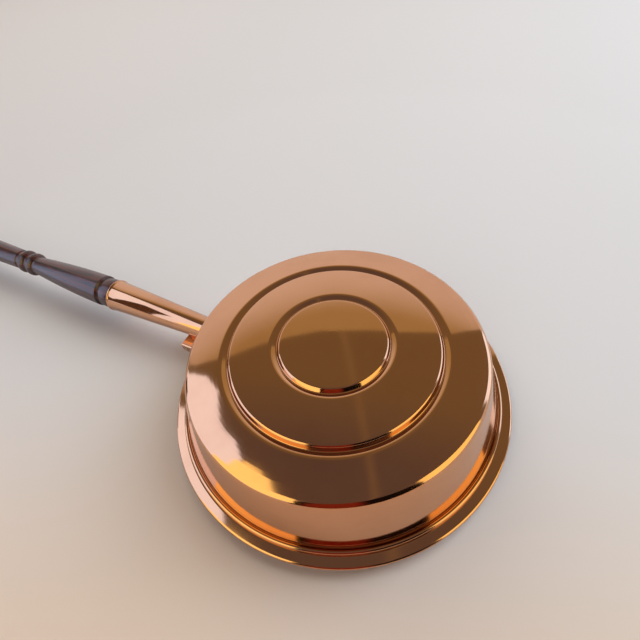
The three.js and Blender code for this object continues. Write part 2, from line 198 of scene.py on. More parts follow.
def side_on(u: float, v: float, run: float) -> Vector:
    """Place of a section that is seen from the side of the handle and runs across it."""
    return Vector((-u, run, v))


def toward(azimuth: float, elevation: float) -> Vector:
    """Direction with an azimuth and an elevation in degrees."""
    turn, rise = math.radians(azimuth), math.radians(elevation)
    return Vector((math.cos(rise) * math.cos(turn), math.cos(rise) * math.sin(turn), math.sin(rise)))


def as_object(name: str, vertices: Iterable[Vector], faces: Iterable[Sequence[int]]) -> bpy.types.Object:
    """Makes a smooth shaded object of millimetre vertices.

    Args:
        name: Name of the piece.
        vertices: Its vertices in millimetres.
        faces: Indices of each face's vertices.

    Returns:
        The object, linked to the scene, its faces turned outwards.
    """
    mesh = bpy.data.meshes.new(name)
    mesh.from_pydata([tuple(v * MM) for v in vertices], [], faces)
    piece = bpy.data.objects.new(name, mesh)
    bpy.context.scene.collection.objects.link(piece)
    return tidied(piece)


def tidied(piece: bpy.types.Object) -> bpy.types.Object:
    """Merges double vertices, turns the faces outwards and shades them smooth up to real edges."""
    work = bmesh.new()
    work.from_mesh(piece.data)
    bmesh.ops.remove_doubles(work, verts=work.verts, dist=MM * 1e-4)
    bmesh.ops.recalc_face_normals(work, faces=work.faces)
    work.to_mesh(piece.data)
    work.free()
    piece.data.shade_smooth()
    piece.data.set_sharp_from_angle(angle=SHARP_ANGLE)
    return piece


def turned(
    name: str,
    section: Sequence[Point],
    steps: int,
    place: Place = upright,
    gap: float = 0.0,
) -> bpy.types.Object:
    """Turns a closed section about an axis.

    Args:
        name: Name of the piece.
        section: Radius and height of each point. Points on the axis become one vertex.
        steps: Number of segments in the turn.
        place: Puts radius, angle and height where they belong.
        gap: Angle in degrees left open on the handle's side, with flat ends.

    Returns:
        The turned piece.
    """
    half = math.radians(gap) / 2
    span = 2 * math.pi - 2 * half
    columns = steps if gap == 0 else steps + 1
    vertices: list[Vector] = []
    rings: list[list[int]] = []
    for radius, height in section:
        start = len(vertices)
        if radius < 1e-6:
            vertices.append(place(0.0, 0.0, height))
            rings.append([start] * columns)
            continue
        for j in range(columns):
            vertices.append(place(radius, math.pi + half + span * j / steps, height))
        rings.append(list(range(start, start + columns)))
    faces: list[tuple[int, ...]] = []
    for ring, following in zip(rings, rings[1:] + rings[:1]):
        for j in range(steps):
            k = (j + 1) % columns
            corners = (ring[j], ring[k], following[k], following[j])
            distinct = tuple(dict.fromkeys(corners))
            if len(distinct) > 2:
                faces.append(distinct)
    if gap:
        faces.append(tuple(ring[0] for ring in rings))
        faces.append(tuple(ring[-1] for ring in reversed(rings)))
    return as_object(name, vertices, faces)


def extruded(name: str, section: Sequence[Point], low: float, high: float, place: Place) -> bpy.types.Object:
    """Runs a closed section from one end to another.

    Args:
        name: Name of the piece.
        section: The section's points.
        low: Where the run starts.
        high: Where it ends.
        place: Puts the section's two coordinates and the run where they belong.

    Returns:
        The piece with flat ends.
    """
    count = len(section)
    vertices = [place(u, v, run) for run in (low, high) for u, v in section]
    faces: list[tuple[int, ...]] = [
        (i, (i + 1) % count, count + (i + 1) % count, count + i) for i in range(count)
    ]
    faces.append(tuple(range(count)))
    faces.append(tuple(range(count, 2 * count)))
    return as_object(name, vertices, faces)


class Carve(Enum):
    """What one shape does to another."""

    CUT = "DIFFERENCE"
    JOIN = "UNION"
    KEEP_COMMON = "INTERSECT"


def applied(piece: bpy.types.Object) -> bpy.types.Object:
    """Turns a piece's modifiers into its mesh."""
    graph = bpy.context.evaluated_depsgraph_get()
    mesh = bpy.data.meshes.new_from_object(piece.evaluated_get(graph))
    old = piece.data
    piece.modifiers.clear()
    piece.data = mesh
    mesh.name = old.name
    bpy.data.meshes.remove(old)
    return piece


def carved(piece: bpy.types.Object, how: Carve, *tools: bpy.types.Object) -> bpy.types.Object:
    """Cuts, joins or trims a piece with other shapes, which are used up.

    Args:
        piece: The shape that stays.
        how: What the tools do to it.
        tools: The other shapes.

    Returns:
        The carved piece.
    """
    for tool in tools:
        modifier = piece.modifiers.new("carve", "BOOLEAN")
        modifier.operation = how.value
        modifier.solver = "EXACT"
        modifier.object = tool
        applied(piece)
        bpy.data.objects.remove(tool)
    return tidied(piece)


# ---------------------------------------------------------------- finishes


class Slot(Enum):
    """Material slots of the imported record."""

    COPPER = "copper"
    BRASS = "brass"
    STEEL = "steel"
    WALNUT = "walnut"


class Body(Enum):
    """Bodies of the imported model."""

    PAN = "pan"
    LID = "lid"
    RING = "ring"


def linear(hex_colour: str) -> tuple[float, float, float, float]:
    """Turns an sRGB hex colour such as #C98260 to linear red, green, blue and alpha."""
    parts = [int(hex_colour[i : i + 2], 16) / 255 for i in (1, 3, 5)]
    light = [p / 12.92 if p <= 0.04045 else ((p + 0.055) / 1.055) ** 2.4 for p in parts]
    return light[0], light[1], light[2], 1.0


def add_node(
    tree: bpy.types.NodeTree,
    kind: str,
    settings: dict[str, object] | None = None,
    inputs: Links | None = None,
) -> bpy.types.Node:
    """Adds a node with its settings and links.

    Args:
        tree: The node tree that it joins.
        kind: Blender's name of the node type, without its ShaderNode.
        settings: Properties of the node.
        inputs: For each input, by name or number, a value or the socket that feeds it.

    Returns:
        The new node.
    """
    made = tree.nodes.new(f"ShaderNode{kind}")
    for name, value in (settings or {}).items():
        setattr(made, name, value)
    for name, value in (inputs or {}).items():
        if isinstance(value, bpy.types.NodeSocket):
            tree.links.new(value, made.inputs[name])
        else:
            made.inputs[name].default_value = value
    return made


def new_material(name: str) -> bpy.types.Material:
    """A new material with a plain shader."""
    material = bpy.data.materials.new(name)
    material.use_nodes = True
    return material


class Lay(Enum):
    """Which way the polishing lines of a metal run."""

    ROUND_THE_PAN = "Z"
    ROUND_THE_HANDLE = "X"
    ALONG_THE_HANDLE = "Y"


@dataclass(frozen=True)
class PolishedMetal:
    """A metal buffed on a wheel, with the fine lines and slight waves that this leaves.

    The lines stretch each reflection across them, and the waves make its edges wander. Real lines
    lie about 0.05 mm apart; they are drawn coarser, because they would be too fine to show. The
    colour turns to a duller one in soft patches, as lacquer and handling leave it.
    """

    name: str
    slot: Slot
    colour: str
    dulled: str
    roughness: float
    line_pitch: float
    line_height: float
    wave_length: float
    wave_height: float
    anisotropy: float = 0.0
    lay: Lay = Lay.ROUND_THE_PAN
    haze_scale: float = 0.35
    haze_limits: Point = (0.42, 0.75)
    haze_share: float = 0.55
    gloss_limits: Point = (0.85, 1.35)
    turns_of_noise: float = 1.6
    arm: float = 0.014
    stretch: float = 0.02

    def material(self) -> bpy.types.Material:
        """The node material, made once and then shared."""
        name = f"{self.name}_{self.lay.name.lower()}"
        known = bpy.data.materials.get(name)
        if known:
            return known
        material = new_material(name)
        tree = material.node_tree
        shader = tree.nodes["Principled BSDF"]
        where = add_node(tree, "TexCoord").outputs["Object"]
        lines = self._lines(tree, where)
        waves = add_node(
            tree, "TexNoise", None,
            {"Vector": where, "Scale": 1 / (self.wave_length * MM), "Detail": 1.0},
        ).outputs["Fac"]
        haze = add_node(
            tree, "TexNoise", None,
            {"Vector": where, "Scale": self.haze_scale / (self.wave_length * MM), "Detail": 5.0, "Roughness": 0.65},
        ).outputs["Fac"]
        haze_share = add_node(
            tree, "MapRange", SOFTLY,
            {"Value": haze, "From Min": self.haze_limits[0], "From Max": self.haze_limits[1],
             "To Max": self.haze_share},
        ).outputs["Result"]
        tint = add_node(
            tree, "Mix", COLOURS,
            {0: haze_share, 6: linear(self.colour), 7: linear(self.dulled)},
        ).outputs[2]
        gloss = add_node(
            tree, "MapRange", None,
            {"Value": haze, "From Min": 0.3, "From Max": 0.8,
             "To Min": self.roughness * self.gloss_limits[0],
             "To Max": self.roughness * self.gloss_limits[1]},
        ).outputs["Result"]
        wave_bump = add_node(
            tree, "Bump", None,
            {"Strength": 1.0, "Distance": self.wave_height * MM, "Height": waves},
        ).outputs["Normal"]
        line_bump = add_node(
            tree, "Bump", None,
            {"Strength": 1.0, "Distance": self.line_height * MM, "Height": lines, "Normal": wave_bump},
        ).outputs["Normal"]
        tree.links.new(tint, shader.inputs["Base Color"])
        tree.links.new(gloss, shader.inputs["Roughness"])
        tree.links.new(line_bump, shader.inputs["Normal"])
        shader.inputs["Metallic"].default_value = 1.0
        if self.anisotropy:
            shader.inputs["Anisotropic"].default_value = self.anisotropy
            axis = self.lay.value if self.lay is not Lay.ALONG_THE_HANDLE else "X"
            tangent = add_node(tree, "Tangent", {"direction_type": "RADIAL", "axis": axis})
            tree.links.new(tangent.outputs["Tangent"], shader.inputs["Tangent"])
        return material

    def _lines(self, tree: bpy.types.NodeTree, where: bpy.types.NodeSocket) -> bpy.types.NodeSocket:
        """Noise stretched along the polishing lines.

        Args:
            tree: The material's node tree.
            where: Position on the object.

        Returns:
            A height from 0 to 1.
        """
        axes = add_node(tree, "SeparateXYZ", None, {0: where}).outputs
        one, other, last = (axes[name] for name in ("XYZ" if self.lay is Lay.ROUND_THE_PAN else "YZX"))

        def times(value: bpy.types.NodeSocket, factor: float) -> bpy.types.NodeSocket:
            """A value times a number."""
            return add_node(tree, "Math", {"operation": "MULTIPLY"}, {0: value, 1: factor}).outputs[0]

        flat = add_node(tree, "CombineXYZ", None, {0: one, 1: other}).outputs[0]
        first = add_node(tree, "VectorMath", {"operation": "LENGTH"}, {0: flat}).outputs["Value"]
        turn = add_node(tree, "Math", {"operation": "ARCTAN2"}, {0: other, 1: one}).outputs[0]
        slow_turn: object = times(turn, self.turns_of_noise)
        if self.lay is Lay.ALONG_THE_HANDLE:
            first, last, slow_turn = times(turn, self.arm), times(axes["X"], self.stretch), 0.0
        fine = 1 / (self.line_pitch * MM)
        scaled = [times(part, fine) for part in (first, last)]
        spread = add_node(tree, "CombineXYZ", None, {0: scaled[0], 1: scaled[1], 2: slow_turn})
        return add_node(
            tree, "TexNoise", None,
            {"Vector": spread.outputs[0], "Scale": 1.0, "Detail": 3.0, "Roughness": 0.6},
        ).outputs["Fac"]


@dataclass(frozen=True)
class GrainLayer:
    """One layer of wood grain: noise drawn out along the handle, laid over the layers before it."""

    colour: str
    spacing: float
    limits: Point
    strength: float = 1.0
    stretch: float = 0.06
    shift: Colour = (0, 0.021, 0.012)
    detail: float = 2.0
    distortion: float = 0.0


@dataclass(frozen=True)
class VarnishedWood:
    """Turned wood, stained dark and varnished: long streaks of grain under a clear gloss.

    The rings lie 2.2 mm apart and the pores are 0.35 mm wide, which is wider than real pores of
    0.1 to 0.2 mm, so that they show.
    """

    name: str = "walnut_turned_and_varnished"
    dark: str = "#200A05"
    mid: str = "#52190D"
    light: str = "#84391A"
    slot: Slot = Slot.WALNUT
    layers: tuple[GrainLayer, ...] = (
        GrainLayer("mid", 2.2, (0.38, 0.66), detail=4.0, distortion=0.8),
        GrainLayer("light", 8.8, (0.5, 0.8), 0.6),
        GrainLayer("dark", 0.35, (0.62, 0.72), 0.7, 0.03, (0, 0, 0), 1.0),
    )
    pore_depth: float = 0.05
    roughness: float = 0.34
    varnish: float = 0.4
    varnish_roughness: float = 0.14

    def material(self) -> bpy.types.Material:
        """The node material, made once and then shared."""
        known = bpy.data.materials.get(self.name)
        if known:
            return known
        material = new_material(self.name)
        tree = material.node_tree
        shader = tree.nodes["Principled BSDF"]
        where = add_node(tree, "TexCoord").outputs["Object"]
        colour: object = linear(self.dark)
        for layer in self.layers:
            laid = add_node(
                tree, "Mapping", None,
                {"Vector": where, "Location": layer.shift, "Scale": (layer.stretch, 1.0, 1.0)},
            ).outputs[0]
            noise = add_node(
                tree, "TexNoise", None,
                {"Vector": laid, "Scale": 1 / (layer.spacing * MM), "Detail": layer.detail,
                 "Distortion": layer.distortion},
            ).outputs["Fac"]
            share = add_node(
                tree, "MapRange", SOFTLY,
                {"Value": noise, "From Min": layer.limits[0], "From Max": layer.limits[1],
                 "To Max": layer.strength},
            ).outputs["Result"]
            colour = add_node(
                tree, "Mix", COLOURS, {0: share, 6: colour, 7: linear(getattr(self, layer.colour))}
            ).outputs[2]
        bump = add_node(
            tree, "Bump", {"invert": True},
            {"Strength": 0.5, "Distance": self.pore_depth * MM, "Height": share},
        ).outputs["Normal"]
        tree.links.new(colour, shader.inputs["Base Color"])
        tree.links.new(bump, shader.inputs["Normal"])
        shader.inputs["Roughness"].default_value = self.roughness
        shader.inputs["IOR"].default_value = 1.5
        shader.inputs["Coat Weight"].default_value = self.varnish
        shader.inputs["Coat Roughness"].default_value = self.varnish_roughness
        return material


COPPER = PolishedMetal(
    name="copper_sheet_buffed_and_lacquered",
    slot=Slot.COPPER,
    colour="#D6A27D",
    dulled="#C89270",
    roughness=0.08,
    line_pitch=0.7,
    line_height=0.0006,
    wave_length=26.0,
    wave_height=0.05,
    anisotropy=0.35,
)
BRASS = PolishedMetal(
    name="brass_wire_buffed",
    slot=Slot.BRASS,
    colour="#DDB765",
    dulled="#B98F42",
    roughness=0.16,
    line_pitch=0.4,
    line_height=0.0012,
    wave_length=9.0,
    wave_height=0.02,
    lay=Lay.ALONG_THE_HANDLE,
)
STEEL = PolishedMetal(
    name="steel_wire_drawn",
    slot=Slot.STEEL,
    colour="#B9BABC",
    dulled="#85817C",
    roughness=0.3,
    line_pitch=0.2,
    line_height=0.002,
    wave_length=6.0,
    wave_height=0.01,
    lay=Lay.ROUND_THE_PAN,
)
WALNUT = VarnishedWood()


def dress(
    piece: bpy.types.Object,
    finish: PolishedMetal | VarnishedWood,
    body: Body,
    *nodes: str,
) -> bpy.types.Object:
    """Gives a piece its finish and its place in the frame.

    Args:
        piece: The finished shape.
        finish: Its finish.
        body: The body that it moves with.
        nodes: Solids of the frame that it stands for.

    Returns:
        The piece.
    """
    piece.data.materials.clear()
    piece.data.materials.append(finish.material())
    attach(piece, body.value)
    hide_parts(*nodes)
    log.info("%s: %s faces, rides on %s", piece.name, len(piece.data.polygons), body.value)
    return piece


# ---------------------------------------------------------------- pan


@dataclass
class Pan:
    """The raised copper pan: crowned base, two stamped rings, tapered wall and wired rim."""

    sheet: float = 1.2
    top: float = 88.9
    crown_radius: float = 425.0
    shoulder_radius: float = 126.9
    shoulder_rounding: float = 6.0
    wall_foot_radius: float = 140.5
    wall_flare: float = 13.6
    lip_top: float = 14.7
    lip_fillet: float = 1.2
    curl_centre_radius: float = 141.95
    curl_inner: float = 0.75
    curl_end: float = 150.0
    wire_radius: float = 0.5
    rings: tuple[tuple[float, float, float], ...] = ((51.8, 7.3, 2.0), (95.2, 7.8, 2.2))
    ring_slope: float = 2.2
    ring_floor: float = 0.9
    ring_roundings: tuple[float, float, float, float] = (2.4, 0.8, 1.9, 5.6)
    crown_step: float = 3.0

    def crown(self, radius: float) -> float:
        """Height of the crowned base at a radius."""
        return self.top - radius**2 / (2 * self.crown_radius)

    def wall(self, height: float) -> float:
        """Radius of the flared wall at a height."""
        full = self.crown(self.shoulder_radius) - self.lip_top
        return self.wall_foot_radius - self.wall_flare * (height - self.lip_top) / full

    @property
    def lean(self) -> float:
        """Angle of the wall's face above the horizontal, in radians."""
        return math.atan(self.wall_flare / (self.crown(self.shoulder_radius) - self.lip_top))

    def outline(self) -> list[Point]:
        """Outer face from the middle of the base to the inside of the rolled edge."""
        corners: list[tuple[float, float, float]] = [(0.0, self.crown(0.0), 0.0)]
        at = 0.0
        for radius, width, depth in self.rings:
            corners += self._crown_corners(at, radius - width)
            inner, floor = radius - width, self.crown(radius) - depth
            foot = inner + self.ring_slope
            edge, first, second, lip = self.ring_roundings
            corners += [
                (inner, self.crown(inner), edge),
                (foot, floor, first),
                (foot + self.ring_floor, floor, second),
                (radius, self.crown(radius), lip),
            ]
            at = radius
        corners += self._crown_corners(at, self.shoulder_radius - 2.5 * self.crown_step)
        corners += [
            (self.shoulder_radius, self.crown(self.shoulder_radius), self.shoulder_rounding),
            (self.wall_foot_radius, self.lip_top, self.lip_fillet),
            (self.curl_centre_radius, self.lip_top, 0.0),
        ]
        centre = (self.curl_centre_radius, self.lip_top + self.curl_inner)
        return rounded(corners, 12)[:-1] + arc(centre, self.curl_inner, -90, self.curl_end, 20)

    def _crown_corners(self, start: float, end: float) -> list[tuple[float, float, float]]:
        """Points on the crown between two radii, clear of both."""
        clear = 2.2 if start else 0.0
        count = max(2, round((end - start) / self.crown_step))
        radii = [start + (end - start) * i / count for i in range(1, count)]
        return [(r, self.crown(r), 0.0) for r in radii if r - start > clear and end - r > 2.2]

    def core(self, gap: float) -> bpy.types.Object:
        """The space inside the wall, grown by a gap, as a cutting tool."""
        low, high = -CARVE_MARGIN, self.top + CARVE_MARGIN
        section = [(0.0, low), (self.wall(low) + gap, low), (self.wall(high) + gap, high), (0.0, high)]
        return turned("core", section, BODY_STEPS)

    def build(self) -> None:
        """Makes the pan's sheet and the wire in its rim."""
        section = sheet_section(self.outline(), -self.sheet)
        dress(turned("pan_shell", section, BODY_STEPS), COPPER, Body.PAN, "pan_body")
        centre = (self.curl_centre_radius, self.lip_top + self.curl_inner)
        wire = turned("pan_edge_wire", arc(centre, self.wire_radius, 0, 345, 23), BODY_STEPS)
        dress(wire, STEEL, Body.PAN, "pan_rim_wire")


# ---------------------------------------------------------------- fasteners


@dataclass
class Rivet:
    """A copper rivet with a low domed head past each end of its grip."""

    radius: float = 1.5
    head_radius: float = 2.7
    head_rise: float = 1.3
    gap: float = 0.3

    def build(self, name: str, grip: float, position: Vector, direction: Vector) -> bpy.types.Object:
        """Makes one rivet.

        Args:
            name: Name of the piece.
            grip: Thickness that it holds.
            position: Middle of the grip.
            direction: Which way it points.

        Returns:
            The rivet.
        """
        seat = grip / 2 + self.gap
        top = [(self.radius, seat), *dome(self.head_radius, self.head_rise, seat)]
        section = [*[(r, -h) for r, h in reversed(top)], *top]
        return turned(name, section, FASTENER_STEPS, pointing(position, direction))


def pointing(position: Vector, direction: Vector) -> Place:
    """Puts a turned piece at a position, with its axis along a direction."""
    turn = Vector((0, 0, 1)).rotation_difference(direction)

    def place(radius: float, angle: float, height: float) -> Vector:
        """Place of one point."""
        return turn @ upright(radius, angle, height) + position

    return place


# ---------------------------------------------------------------- handle


def along(height: float) -> Place:
    """Puts a turned piece along the handle: its height is the distance from the pan's axis."""

    def place(radius: float, angle: float, distance: float) -> Vector:
        """Place of one point."""
        return Vector((-distance, radius * math.sin(angle), height + radius * math.cos(angle)))

    return place


@dataclass
class Socket:
    """The tapered copper tube that holds the wood, with a rolled bead at its mouth."""

    axis_height: float = 31.711
    neck_radius: float = 11.4
    neck_distance: float = 143.9
    taper: float = 0.04143
    mouth: float = 267.0
    sheet: float = 1.2
    start: float = 120.0
    bead_radius: float = 1.3
    bead_rise: float = 0.75
    gap: float = 0.3
    screw_radius: float = 1.3
    screw_head_radius: float = 2.6
    screw_head_rise: float = 1.1
    screw_length: float = 11.0
    screw_from_mouth: float = 16.0
    screw_pitch: float = 30.0
    slot_width: float = 0.6
    slot_depth: float = 0.55

    def radius(self, distance: float) -> float:
        """Outer radius at a distance from the pan's axis."""
        return self.neck_radius + (distance - self.neck_distance) * self.taper

    def cone(self, gap: float) -> bpy.types.Object:
        """A solid as thick as the socket and a gap, as a cutting tool."""
        ends = (self.start - CARVE_MARGIN, self.mouth)
        section = [(0.0, ends[0]), *[(self.radius(d) + gap, d) for d in ends], (0.0, ends[1])]
        return turned("cone", section, HANDLE_STEPS, along(self.axis_height))

    def build(self, pan: Pan) -> None:
        """Makes the tube and its screws.

        Args:
            pan: The pan whose wall the tube ends at.
        """
        mouth_radius = self.radius(self.mouth)
        bead = (mouth_radius + self.bead_rise - self.bead_radius, self.mouth - self.bead_radius)
        steps = 24
        outer = [
            (self.radius(d), d)
            for d in (self.start + (self.mouth - 3.4 - self.start) * i / steps for i in range(steps + 1))
        ]
        valley = (self.radius(self.mouth - 2.9) + 0.05, self.mouth - 2.9)
        inner_mouth = [(mouth_radius - self.sheet + 0.25, self.mouth - 0.02),
                       (mouth_radius - self.sheet, self.mouth - 0.35)]
        section = [
            *outer,
            valley,
            *arc(bead, self.bead_radius, -48, 96, 18),
            *inner_mouth,
            (self.radius(self.start) - self.sheet, self.start),
        ]
        tube = turned("socket_tube", section, HANDLE_STEPS, along(self.axis_height))
        carved(tube, Carve.CUT, pan.core(self.gap))
        dress(tube, replace(COPPER, lay=Lay.ALONG_THE_HANDLE), Body.PAN, "handle_socket")
        for number in (1, 2):
            self._screw(number)

    def _screw(self, number: int) -> None:
        """Makes one slotted round-head wood screw under the socket."""
        distance = self.mouth - self.screw_from_mouth - (number - 1) * self.screw_pitch
        position = Vector((-distance, 0, self.axis_height - self.radius(distance)))
        thread = [
            (self.screw_radius - (0.28 if i % 2 else 0.0), -self.screw_length + 2.6 + i * 0.45)
            for i in range(17)
        ]
        section = [
            (0.0, -self.screw_length),
            *thread,
            (self.screw_radius, self.gap),
            *dome(self.screw_head_radius, self.screw_head_rise, self.gap),
        ]
        place = pointing(position, Vector((0, 0, -1)))
        screw = turned(f"slotted_screw_{number}", section, FASTENER_STEPS, place)
        low = self.gap + self.screw_head_rise - self.slot_depth
        reach, half = self.screw_head_radius + CARVE_MARGIN, self.slot_width / 2
        outline = [(-reach, -half), (reach, -half), (reach, half), (-reach, half)]
        turn = math.radians(35 if number == 1 else -18)
        cutter = extruded(
            "driver_slot", outline, low, low + CARVE_MARGIN,
            lambda u, v, run: position + Vector((
                u * math.cos(turn) - v * math.sin(turn), u * math.sin(turn) + v * math.cos(turn), -run,
            )),
        )
        carved(screw, Carve.CUT, cutter)
        dress(screw, replace(BRASS, lay=Lay.ROUND_THE_PAN), Body.PAN, f"socket_screw_{number}")


@dataclass
class Saddle:
    """One folded copper strap: a plate on the wall, a web under the socket and two hinge ears."""

    sheet: float = 1.2
    gap: float = 0.3
    width: float = 46.0
    height: float = 32.0
    corner: float = 5.0
    web_bottom: float = 17.8
    hinge_width: float = 41.6
    fold: float = 1.9
    ear_start: float = 153.6
    ear_end: float = 168.3
    ear_bottom: float = 9.5
    ear_corner: float = 3.4
    inside: float = 120.0
    pin_distance: float = 163.0
    pin_height: float = 13.7
    pin_radius: float = 1.6
    pin_gap: float = 0.3
    pin_head_rise: float = 0.6
    rivet_spread: float = 34.0
    rivet_pitch: float = 17.0
    rivet: Rivet = field(default_factory=Rivet)

    def build(self, pan: Pan, socket: Socket) -> None:
        """Makes the strap, its rivets and the hinge pin.

        Args:
            pan: The pan that it is riveted to.
            socket: The socket that it goes round.
        """
        strap = self._plate(pan)
        carved(strap, Carve.JOIN, self._channel())
        bore = self._bore(self.pin_radius + self.pin_gap)
        carved(strap, Carve.CUT, pan.core(self.gap), socket.cone(self.gap), bore)
        dress(strap, COPPER, Body.PAN, "saddle_bracket")
        self._rivets(pan)
        self._pin()

    def _plate(self, pan: Pan) -> bpy.types.Object:
        """The plate that lies on the wall, with rounded upper corners."""
        side, low, high = self.width / 2, self.web_bottom, self.web_bottom + self.height
        outline = rounded(
            [(0.0, low, 0.0), (side, low, 0.6), (side, high, self.corner),
             (-side, high, self.corner), (-side, low, 0.6), (0.0, low, 0.0)], 10,
        )[:-1]
        blank = extruded(
            "saddle_strap", outline, self.inside, self.ear_end, end_on
        )
        return carved(blank, Carve.KEEP_COMMON, pan.core(self.gap + self.sheet))

    def _channel(self) -> bpy.types.Object:
        """The web and its two ears, folded from one sheet with round bends."""
        half, top = self.hinge_width / 2, self.web_bottom + self.sheet
        path = rounded(
            [(-half, self.ear_bottom, 0.0), (-half, top, self.fold), (half, top, self.fold),
             (half, self.ear_bottom, 0.0)], 8,
        )
        section = sheet_section(path, -self.sheet)
        channel = extruded(
            "channel", section, self.inside, self.ear_end, end_on
        )
        reach = half + CARVE_MARGIN
        below = [(-reach, -CARVE_MARGIN), (reach, -CARVE_MARGIN),
                 (reach, self.web_bottom), (-reach, self.web_bottom)]
        inner = extruded(
            "below_web", below, self.inside - CARVE_MARGIN, self.ear_start,
            end_on,
        )
        ear = rounded(
            [(self.ear_start + 4, 30.0, 0.0), (self.ear_start, 30.0, 0.0),
             (self.ear_start, self.ear_bottom, 2.2), (self.ear_end, self.ear_bottom, self.ear_corner),
             (self.ear_end, 30.0, 0.0), (self.ear_start + 4, 30.0, 0.0)], 10,
        )[:-1]
        web = [(self.inside - CARVE_MARGIN, self.web_bottom - 0.01), (self.ear_start, self.web_bottom - 0.01),
               (self.ear_start, 30.0), (self.inside - CARVE_MARGIN, 30.0)]
        side_view = extruded("ears", ear, -reach, reach, side_on)
        web_view = extruded("webs", web, -reach, reach, side_on)
        carved(side_view, Carve.JOIN, web_view)
        carved(channel, Carve.CUT, inner)
        return carved(channel, Carve.KEEP_COMMON, side_view)

    def _bore(self, radius: float) -> bpy.types.Object:
        """A rod right through the ears on the pin's axis, as a cutting tool."""
        reach = self.hinge_width
        section = [(0.0, -reach), (radius, -reach), (radius, reach), (0.0, reach)]
        return turned("bore", section, FASTENER_STEPS, self._pin_place())

    def _pin_place(self) -> Place:
        """Puts a turned piece on the hinge pin's axis."""
        return pointing(Vector((-self.pin_distance, 0, self.pin_height)), Vector((0, 1, 0)))

    def _rivets(self, pan: Pan) -> None:
        """The four rivets that hold the plate to the wall."""
        number = 0
        for side in (-1, 1):
            for level in (-1, 1):
                number += 1
                height = self.web_bottom + self.height / 2 + level * self.rivet_pitch / 2
                angle = math.asin(self.rivet_spread / 2 / pan.wall(height))
                radius = pan.wall(height) + (self.sheet + self.gap - pan.sheet) / 2
                outward = Vector((-math.cos(angle), side * math.sin(angle), 0))
                position = outward * radius + Vector((0, 0, height))
                direction = outward * math.cos(pan.lean) + Vector((0, 0, math.sin(pan.lean)))
                grip = pan.sheet + self.gap + self.sheet
                piece = self.rivet.build(f"saddle_stud_{number}", grip, position, direction)
                dress(piece, COPPER, Body.PAN, f"saddle_rivet_{number}")

    def _pin(self) -> None:
        """The steel hinge pin with a low dome past each ear."""
        half = self.hinge_width / 2 + self.gap
        end = [(self.pin_radius, half), *dome(self.pin_radius, self.pin_head_rise, half)[1:]]
        section = [*[(r, -h) for r, h in reversed(end)], *end]
        pin = turned("pivot_pin", section, FASTENER_STEPS, self._pin_place())
        dress(pin, STEEL, Body.PAN, "hinge_pin")


@dataclass
class Handle:
    """The turned wooden handle, from its tenon in the socket to the knob at its end."""

    socket: Socket
    gap: float = 0.3
    tenon_length: float = 96.0
    slope: float = 1.2
    collar: tuple[float, float, float] = (13.4, 15.2, 0.7)
    collar_groove: tuple[float, float] = (1.6, 14.3)
    vase: tuple[float, float, float, float] = (104.0, 16.7, 10.6, 1.2)
    bead: tuple[float, float, float] = (9.0, 13.4, 1.8)
    groove: tuple[float, float] = (2.6, 10.4)
    shaft: tuple[float, float, float] = (286.0, 11.4, 1.6)
    grip: tuple[float, float, float] = (132.0, 12.2, 3.0)
    knob_radius: float = 14.6
    soft: float = 0.45

    def build(self) -> float:
        """Makes the handle.

        Returns:
            Distance of the handle's end from the pan's axis.
        """
        outline = self.outline()
        wood = turned("turned_handle", outline, HANDLE_STEPS, along(self.socket.axis_height))
        dress(wood, WALNUT, Body.PAN, "wooden_handle")
        return outline[-1][1]

    def outline(self) -> list[Point]:
        """Radius against distance, with every edge of the turning slightly rounded."""
        at = self.socket.mouth + self.gap
        tenon_end = self.socket.mouth - self.tenon_length
        inner = self.socket.sheet + self.gap
        corners: list[tuple[float, float, float]] = [
            (0.0, tenon_end, 0.0),
            (self.socket.radius(tenon_end) - inner, tenon_end, 1.0),
            (self.socket.radius(at) - inner, at, 0.15),
        ]

        def member(length: float, start: float, end: float, bulge: float, steps: int) -> None:
            """Adds a swelling member and moves on past it."""
            nonlocal at
            for i in range(steps + 1):
                t = i / steps
                radius = start + (end - start) * t + bulge * 4 * t * (1 - t)
                soft = self.soft if i in (0, steps) else 0.0
                corners.append((radius, at + length * t, soft))
            at += length

        def groove(length: float, radius: float) -> None:
            """Adds a groove with sloping sides."""
            nonlocal at
            at += self.slope
            member(length, radius, radius, 0.0, 1)
            at += self.slope

        def bead() -> None:
            """Adds a round bead."""
            length, radius, rise = self.bead
            member(length, radius - rise, radius - rise, rise, 12)

        length, radius, rise = self.collar
        member(length, radius, radius, rise, 12)
        groove(*self.collar_groove)
        length, start, end, swell = self.vase
        member(length, start, end, swell, 32)
        groove(*self.groove)
        bead()
        groove(*self.groove)
        bead()
        groove(*self.groove)
        length, radius, swell = self.shaft
        member(length, radius, radius, swell, 40)
        groove(*self.groove)
        bead()
        groove(*self.groove)
        length, radius, swell = self.grip
        member(length, radius, radius, swell, 32)
        groove(*self.groove)
        knob = arc((0.0, at + self.knob_radius * 0.8), self.knob_radius, -48, 80, 24)
        path = rounded([*corners, (*knob[0], self.soft), (*knob[1], 0.0)], 4)[:-1]
        return [*path, *knob[1:], (0.0, knob[-1][1])]


